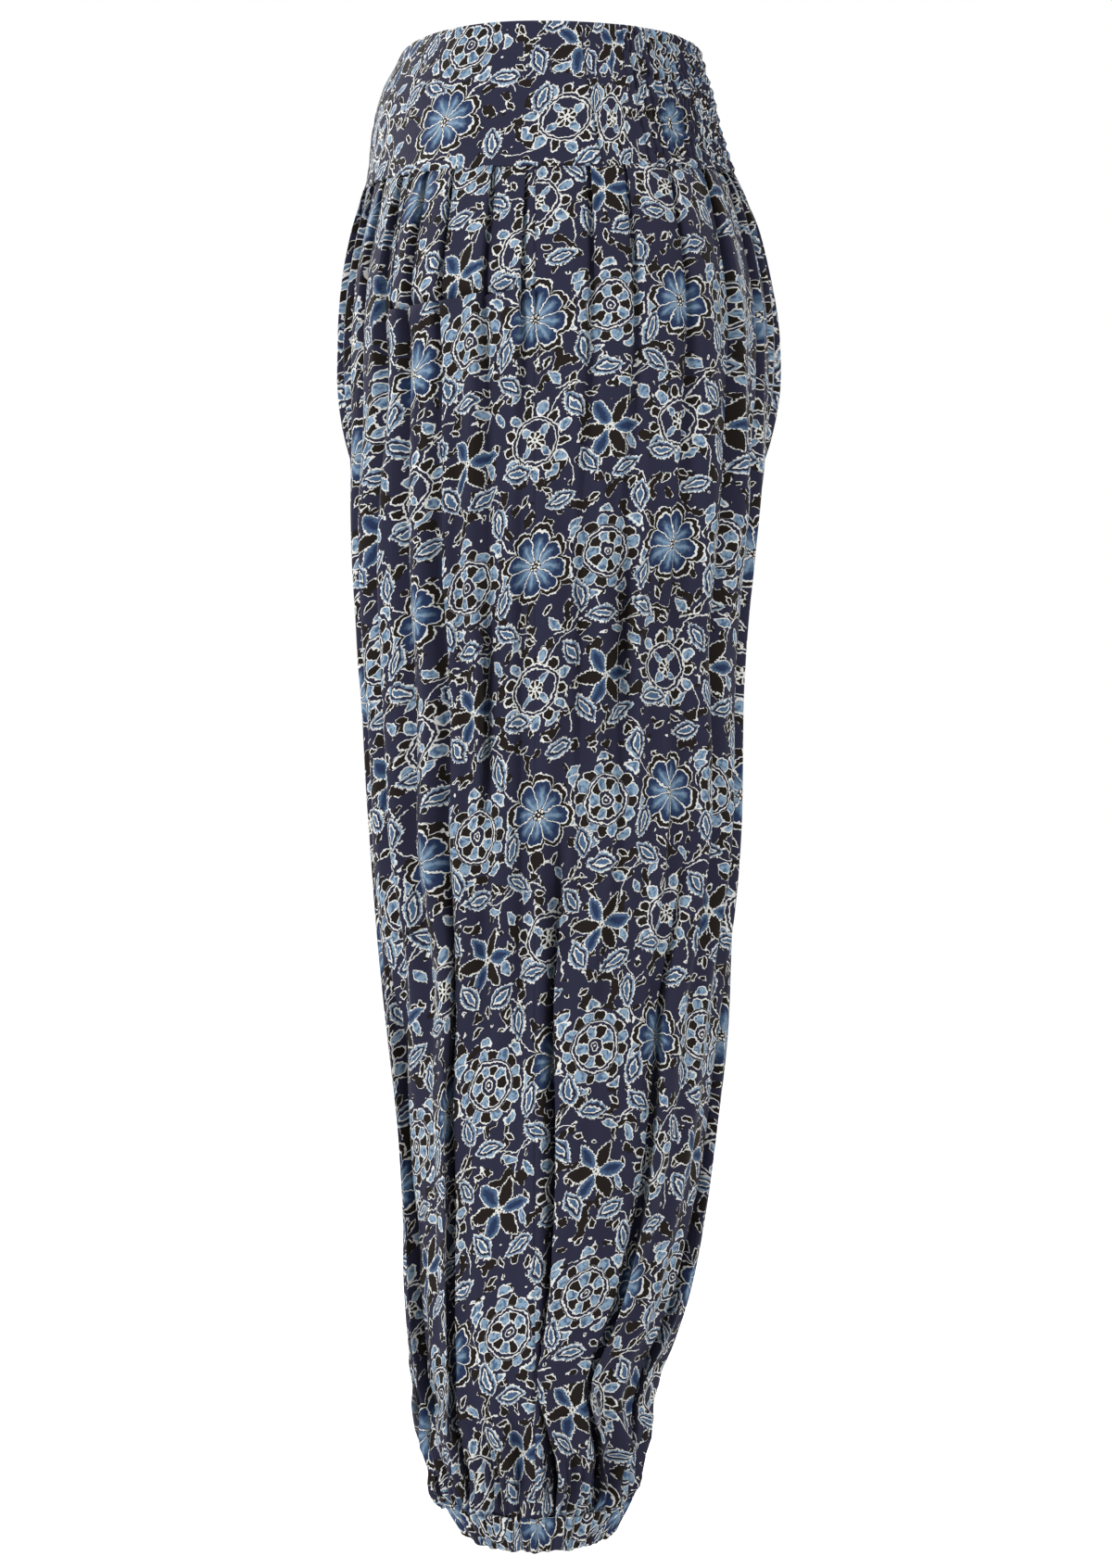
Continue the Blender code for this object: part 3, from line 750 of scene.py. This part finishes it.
class Graph:
    """Adds nodes to a material. Each method takes sockets or numbers and returns a socket."""

    def __init__(self, tree):
        self.tree = tree

    def node(self, kind, values, **settings):
        node = self.tree.nodes.new("ShaderNode" + kind)
        for name, value in settings.items():
            setattr(node, name, value)
        self.feed(node.inputs, values)
        return node

    def feed(self, sockets, values):
        for socket, value in zip(sockets, values):
            if isinstance(value, bpy.types.NodeSocket):
                self.tree.links.new(value, socket)
            else:
                socket.default_value = value

    def math(self, operation, *values, clamp=False):
        return self.node("Math", values, operation=operation, use_clamp=clamp).outputs[0]

    def vector(self, operation, *values):
        outputs = self.node("VectorMath", values, operation=operation).outputs
        return outputs["Value" if operation in ("LENGTH", "DOT_PRODUCT") else "Vector"]

    def times(self, *masks):
        product = masks[0]
        for mask in masks[1:]:
            product = self.math("MULTIPLY", product, mask)
        return product

    def scaled(self, value, factor, shift, clamp=False):
        return self.math("MULTIPLY_ADD", value, factor, shift, clamp=clamp)

    def below(self, value, edge):
        return self.math("LESS_THAN", value, edge)

    def above(self, value, edge):
        return self.math("GREATER_THAN", value, edge)

    def between(self, value, low, high):
        return self.math("COMPARE", value, (low + high) / 2, (high - low) / 2)

    def paint(self, colour, over, mask):
        node = self.node("Mix", (), data_type="RGBA")
        self.feed((node.inputs[0], node.inputs[6], node.inputs[7]), (mask, colour, over))
        return node.outputs[2]

    def noise(self, place, scale, detail=2.0, roughness=0.5, output="Fac"):
        node = self.node("TexNoise", (), noise_dimensions="2D")
        names = ("Vector", "Scale", "Detail", "Roughness")
        self.feed([node.inputs[name] for name in names], (place, scale, detail, roughness))
        return node.outputs[output]

    def near(self, place, x, y):
        """The place measured from the nearest copy of a point of the repeat."""
        away = self.vector("SUBTRACT", place, (x, y, 0))
        half = (REPEAT[0] / 2, REPEAT[1] / 2, 1)
        return self.vector("WRAP", away, half, tuple(-h for h in half))

    def polar(self, local):
        """Distance from a motif's centre, and angle in turns."""
        split = self.node("SeparateXYZ", (local,))
        angle = self.math("ARCTAN2", split.outputs[1], split.outputs[0])
        return self.vector("LENGTH", local), self.math("DIVIDE", angle, 2 * math.pi)

    def sector(self, turns, count, start=0.0):
        """Offset from the middle of one of count equal sectors, from -0.5 to 0.5, and its number."""
        scaled = self.scaled(turns, count, start + 100)
        offset = self.math("SUBTRACT", self.math("FRACT", scaled), 0.5)
        return offset, self.math("FLOOR", scaled)

    def every_other(self, number):
        return self.math("COMPARE", self.math("MODULO", number, 2), 0, 0.5)

    def square(self, value):
        return self.math("MULTIPLY", value, value)

    def oval(self, across, along_it):
        return self.math("ADD", self.square(across), self.square(along_it))

    def aside(self, offset, r, count, half_width):
        """Distance from the middle line of one of count sectors, over a half width."""
        return self.times(offset, r, 2 * math.pi / count / half_width)


def layered(g, colour, value, layers):
    """Paints over each ink in turn, wherever the value is under its edge."""
    for edge, ink in layers:
        colour = g.paint(colour, ink, g.below(value, edge))
    return colour


def draw_wings(g, colour, turns, r, count, start, washed):
    """Loose crescents outside a wheel, each bent away from it."""
    offset = g.sector(turns, count, start)[0]
    along_arc = g.aside(offset, r, count, 5.6)
    bent = g.scaled(g.square(along_arc), 2.2, -28.2)
    reach = g.math("DIVIDE", g.math("ADD", r, bent), 2.9)
    return layered(g, colour, g.oval(along_arc, reach), ((1.0, CREAM), (0.55, washed)))


def draw_blocks(g, colour, r, turns, washed, count, start, inner, outer, scallop, gap):
    """A ring of blue and brown blocks by turns, with round ends and pale lines between."""
    offset, number = g.sector(turns, count, start)
    rounded = g.scaled(g.square(offset), scallop, r)
    colour = g.paint(colour, CREAM, g.below(rounded, outer + gap))
    aside = g.times(g.math("SUBTRACT", 0.5, g.math("ABSOLUTE", offset)), r)
    block = g.times(g.below(rounded, outer), g.above(aside, gap * count / (4 * math.pi)))
    block = g.times(block, g.above(r, inner))
    colour = g.paint(colour, washed, block)
    return g.paint(colour, BROWN, g.times(block, g.every_other(number)))


def draw_rosette(g, colour, place, washed):
    """A wheel of blue and brown blocks in two rings, scalloped, with loose wings round it."""
    r, turns = g.polar(g.near(place, REPEAT[0] / 2, 0))
    colour = draw_wings(g, colour, turns, r, 7, 0.3, washed)
    colour = g.paint(colour, NAVY, g.below(r, 24.8))
    colour = draw_blocks(g, colour, r, turns, washed, 16, 0.0, 17.0, 22.8, 9.0, 0.75)
    colour = g.paint(colour, NAVY, g.below(r, 16.9))
    colour = g.paint(colour, CREAM, g.between(r, 15.1, 15.9))
    colour = draw_blocks(g, colour, r, turns, washed, 10, 0.4, 6.2, 12.9, 3.0, 0.75)
    colour = layered(g, colour, r, ((6.2, CREAM), (5.4, NAVY)))
    colour = g.paint(colour, CREAM, g.between(r, 2.4, 3.1))
    return g.paint(colour, CREAM, g.below(r, 0.9))


def draw_flower(g, colour, place):
    """Eight notched petals, streaked pale in the middle and deep at the tips, in two outlines."""
    r, turns = g.polar(g.near(place, 0, 0))
    offset = g.sector(turns, 8, 0.2)[0]
    aside = g.math("ABSOLUTE", offset)
    lobe = g.square(g.math("SUBTRACT", aside, 0.13))
    uneven = g.times(g.math("SINE", g.times(turns, 6 * math.pi)), 1.3)
    edge = g.math("ADD", g.scaled(lobe, -34.0, 20.2), uneven)
    q = g.math("DIVIDE", r, edge)
    colour = layered(g, colour, q, ((1.25, CREAM), (1.205, BROWN), (1.04, CREAM)))
    shade = g.paint(MID, DEEP, g.scaled(q, 6.0, -3.6, clamp=True))
    shade = g.paint(shade, LIGHT, g.scaled(q, -3.0, 1.5, clamp=True))
    streak = g.scaled(g.square(g.times(aside, 6.4)), -1.0, 1.0, clamp=True)
    streak = g.times(streak, g.scaled(q, -4.0, 3.5, clamp=True))
    shade = g.paint(shade, LIGHT, g.times(streak, 0.8))
    colour = g.paint(colour, shade, g.below(q, 0.98))
    gap = g.times(g.math("SUBTRACT", 0.5, aside), r)
    colour = g.paint(colour, DEEP, g.times(g.below(gap, 0.9), g.below(q, 0.98)))
    colour = g.paint(colour, CREAM, g.times(g.below(gap, 0.45), g.below(q, 0.98)))
    colour = g.paint(colour, BROWN, g.below(r, 3.7))
    offset = g.sector(turns, 7)[0]
    dot = g.times(g.between(r, 1.9, 3.3), g.below(g.math("ABSOLUTE", offset), 0.3))
    colour = g.paint(colour, CREAM, dot)
    return g.paint(colour, CREAM, g.below(r, 0.8))


def draw_daisy_ring(g, colour, place, washed):
    """A daisy and four pale petals in a double ring, with leaves radiating outside."""
    r, turns = g.polar(g.near(place, 0, REPEAT[1] / 2))
    offset, number = g.sector(turns, 13, 0.25)
    across = g.aside(offset, r, 13, 3.6)
    alternate = g.every_other(number)
    middle = g.scaled(alternate, -2.4, 21.4)
    reach = g.math("DIVIDE", g.math("SUBTRACT", r, middle), 4.9)
    leaf = g.oval(across, reach)
    colour = g.paint(colour, CREAM, g.below(leaf, 1.0))
    inner = g.below(leaf, 0.6)
    colour = g.paint(colour, washed, inner)
    colour = g.paint(colour, BROWN, g.times(inner, alternate))
    colour = layered(g, colour, r, ((16.6, CREAM), (15.8, NAVY)))
    colour = g.paint(colour, CREAM, g.between(r, 13.4, 14.2))
    offset = g.sector(turns, 4)[0]
    across = g.aside(offset, r, 4, 2.3)
    reach = g.math("DIVIDE", g.math("SUBTRACT", r, 9.0), 4.2)
    petal = g.oval(across, reach)
    colour = layered(g, colour, petal, ((1.0, CREAM), (0.62, washed)))
    offset = g.sector(turns, 8)[0]
    aside = g.math("ABSOLUTE", offset)
    colour = g.paint(colour, CREAM, g.below(g.scaled(g.square(offset), 6.0, r), 6.4))
    petal = g.times(g.between(r, 2.0, 5.5), g.below(aside, 0.3))
    colour = g.paint(colour, BROWN, petal)
    return g.paint(colour, BROWN, g.below(r, 0.8))


def draw_pinwheel(g, colour, place):
    """Six long petals, blue and brown by turns, with serrated pale edges."""
    r, turns = g.polar(g.near(place, REPEAT[0] / 2, REPEAT[1] / 2))
    offset, number = g.sector(turns, 6, 0.5)
    across = g.math("ABSOLUTE", g.aside(offset, r, 6, 5.2))
    reach = g.math("DIVIDE", g.math("SUBTRACT", r, 11.4), 10.2)
    teeth = g.times(g.math("SINE", g.times(r, 3.6)), 0.05)
    petal = g.math("ADD", g.math("ADD", across, g.square(reach)), teeth)
    colour = layered(g, colour, petal, ((1.0, CREAM), (0.84, BROWN)))
    blue = g.every_other(number)
    shade = g.paint(DEEP, MID, g.scaled(petal, 3.0, -0.9, clamp=True))
    colour = g.paint(colour, shade, g.times(blue, g.below(petal, 0.84)))
    return layered(g, colour, r, ((1.7, CREAM), (0.8, BROWN)))


def almond(g, place, x, y, turn, size):
    """A leaf's own coordinates: -1 to 1 from end to end, and from side to side."""
    local = g.near(place, x, y)
    c, s = math.cos(math.radians(turn)), math.sin(math.radians(turn))
    along_it = g.vector("DOT_PRODUCT", local, (c / size[0], s / size[0], 0))
    across_it = g.vector("DOT_PRODUCT", local, (-s / size[1], c / size[1], 0))
    return along_it, across_it


def nearest_almond(g, place, rows, size):
    """How far out of the nearest of several leaves a place is: under 1 is inside."""
    nearest = None
    for x, y, turn in rows:
        along_it, across_it = almond(g, place, x, y, turn, size)
        out = g.scaled(along_it, along_it, g.math("ABSOLUTE", across_it))
        nearest = out if nearest is None else g.math("MINIMUM", nearest, out)
    return nearest


def draw_stems(g, colour, place):
    for x, y, radius, middle, shown in STEMS:
        local = g.near(place, x, y)
        r = g.vector("LENGTH", local)
        c, s = math.cos(math.radians(middle)), math.sin(math.radians(middle))
        facing = g.vector("DOT_PRODUCT", local, (c / radius, s / radius, 0))
        line = g.times(g.between(r, radius - 0.33, radius + 0.33), g.above(facing, shown))
        colour = g.paint(colour, CREAM, line)
    return colour


def draw_scribbles(g, colour, place):
    """Brown flecks with broken pale edges, between the leaves."""
    shape = g.noise(place, 0.105, 1.0, 0.35)
    broken = g.noise(place, 0.3, 0.0)
    edge = g.times(g.between(shape, 0.59, 0.62), g.above(broken, 0.42))
    colour = g.paint(colour, BROWN, g.above(shape, 0.59))
    return g.paint(colour, CREAM, edge)


def printed_colour(g, place):
    """The whole print at places in millimetres of flat cloth."""
    loose = g.noise(place, 0.09, 1.0, output="Color")
    fine = g.noise(place, 0.55, 0.0, output="Color")
    for offsets, amount in ((loose, 4.2), (fine, 1.3)):
        centred = g.vector("SUBTRACT", offsets, (0.5, 0.5, 0.5))
        place = g.vector("MULTIPLY_ADD", centred, (amount, amount, 0), place)
    teeth = g.noise(place, 0.75, 0.0)
    wash = g.noise(place, 0.33, 1.0)
    washed = g.paint(LIGHT, MID, g.scaled(wash, 5.0, -2.2, clamp=True))
    colour = draw_scribbles(g, NAVY, place)
    colour = draw_stems(g, colour, place)
    bud = nearest_almond(g, place, BUDS, BUD_SIZE)
    colour = layered(g, colour, bud, ((1.0, CREAM), (0.68, BROWN)))
    leaf = nearest_almond(g, place, LEAVES, LEAF_SIZE)
    colour = layered(g, colour, leaf, ((1.0, CREAM), (0.74, washed)))
    colour = draw_rosette(g, colour, place, washed)
    colour = draw_daisy_ring(g, colour, place, washed)
    colour = draw_pinwheel(g, colour, place)
    colour = draw_flower(g, colour, place)
    eye = nearest_almond(g, place, EYES, EYE_SIZE)
    serrated = g.scaled(teeth, 0.5, eye)
    colour = layered(g, colour, serrated, ((1.42, NAVY), (1.28, CREAM)))
    return layered(g, colour, eye, ((0.88, washed), (0.68, NAVY), (0.42, CREAM), (0.27, MID)))


def print_group():
    """The print as a node group: places in metres of flat cloth in, colour out."""
    tree = bpy.data.node_groups.new("block_print", "ShaderNodeTree")
    tree.interface.new_socket("Place", in_out="INPUT", socket_type="NodeSocketVector")
    tree.interface.new_socket("Colour", in_out="OUTPUT", socket_type="NodeSocketColor")
    start = tree.nodes.new("NodeGroupInput")
    end = tree.nodes.new("NodeGroupOutput")
    g = Graph(tree)
    place = g.vector("MULTIPLY", start.outputs[0], (1000, 1000, 0))
    tree.links.new(printed_colour(g, place), end.inputs[0])
    return tree


def woven_height(g, place):
    """A plain weave's threads, over and under, from places in metres."""
    split = g.node("SeparateXYZ", (place,))
    warp = g.math("SINE", g.times(split.outputs[0], math.pi / THREAD_PITCH))
    weft = g.math("SINE", g.times(split.outputs[1], math.pi / THREAD_PITCH))
    return g.times(warp, weft)


def cotton(name, group, show_through=0.0):
    """Printed cotton. Its reverse shows the print through undyed cloth."""
    material = bpy.data.materials.new(name)
    material.use_nodes = True
    tree = material.node_tree
    shader = tree.nodes["Principled BSDF"]
    g = Graph(tree)
    place = g.node("UVMap", (), uv_map="cloth").outputs[0]
    printed = tree.nodes.new("ShaderNodeGroup")
    printed.node_tree = group
    tree.links.new(place, printed.inputs[0])
    colour = printed.outputs[0]
    if show_through:
        colour = g.paint(colour, REVERSE, show_through)
    worn = g.noise(place, 9.0, 2.0)
    threads = woven_height(g, place)
    tone_and_weave_shade = g.scaled(worn, 0.24, 0.88)
    # painted shade: the colour darkens slightly where the weave's threads dip, on top of the tone that
    # varies at random
    tone_and_weave_shade = g.scaled(threads, 0.05, tone_and_weave_shade)
    colour = g.paint(BLACK, colour, tone_and_weave_shade)
    tree.links.new(colour, shader.inputs["Base Color"])
    rough = g.scaled(worn, 0.12, 0.76)
    tree.links.new(rough, shader.inputs["Roughness"])
    slub = g.noise(place, 420.0, 2.0, 0.6)
    height = g.scaled(slub, 0.6, threads)
    bump = g.node("Bump", ())
    bump.inputs["Strength"].default_value = 0.35
    bump.inputs["Distance"].default_value = 0.00012
    tree.links.new(height, bump.inputs["Height"])
    tree.links.new(bump.outputs[0], shader.inputs["Normal"])
    for name, value in (("Sheen Weight", 0.02), ("Sheen Roughness", 0.4), ("Specular IOR Level", 0.08)):
        shader.inputs[name].default_value = value
    return material


def plain(name, colour, roughness):
    material = bpy.data.materials.new(name)
    material.use_nodes = True
    shader = material.node_tree.nodes["Principled BSDF"]
    shader.inputs["Base Color"].default_value = (*colour, 1)
    shader.inputs["Roughness"].default_value = roughness
    return material


def add_floor():
    data = bpy.data.meshes.new("floor")
    half = 30.0
    corners = [(-half, -half, FLOOR), (half, -half, FLOOR), (half, half, FLOOR), (-half, half, FLOOR)]
    data.from_pydata(corners, [], [(0, 1, 2, 3)])
    white = plain("floor_white", (0.9, 0.9, 0.9), 0.9)
    shader = white.node_tree.nodes["Principled BSDF"]
    shader.inputs["Emission Color"].default_value = (1, 1, 1, 1)
    shader.inputs["Emission Strength"].default_value = FLOOR_GLOW
    data.materials.append(white)
    floor = bpy.data.objects.new("floor", data)
    bpy.context.scene.collection.objects.link(floor)


def add_light(name, place, size, power):
    """A large soft light that faces the middle of the trousers."""
    data = bpy.data.lights.new(name, "AREA")
    data.shape = "DISK"
    data.size = size
    data.energy = power
    light = bpy.data.objects.new(name, data)
    light.location = place
    aim = Vector((0, 0, MIDDLE)) - Vector(place)
    light.rotation_euler = aim.to_track_quat("-Z", "Y").to_euler()
    bpy.context.scene.collection.objects.link(light)


def add_lighting():
    world = bpy.data.worlds.new("studio")
    world.use_nodes = True
    sky = world.node_tree.nodes["Background"]
    sky.inputs["Color"].default_value = (1, 1, 1, 1)
    sky.inputs["Strength"].default_value = WORLD_STRENGTH
    bpy.context.scene.world = world
    for side in (1, -1):
        add_light(f"key_{side}", (2.0 * side, -2.2, 1.5), 1.2, 78)
        add_light(f"fill_{side}", (2.2 * side, 2.4, 0.8), 1.6, 26)


def add_camera():
    data = bpy.data.cameras.new("camera")
    data.sensor_fit = "VERTICAL"
    data.sensor_height = 24
    data.lens = CAMERA_LENS
    camera = bpy.data.objects.new("camera", data)
    camera.location = (CAMERA_DISTANCE, 0.0012, MIDDLE)
    camera.rotation_euler = (math.pi / 2, 0, math.pi / 2)
    bpy.context.scene.collection.objects.link(camera)
    bpy.context.scene.camera = camera


def main():
    add_camera()
    add_lighting()
    add_floor()
    group = print_group()
    faces = [cotton("printed_cotton", group), cotton("reverse_cotton", group, 0.42)]
    add_waistband_front(faces)
    add_waistband_back(faces)
    for side in ("left", "right"):
        for panel in ("front", "back"):
            add_leg(panel, side, faces)
        add_pocket(side, faces)
        add_cuff(side, faces)


main()
bpy.context.scene.view_settings.view_transform = "Standard"
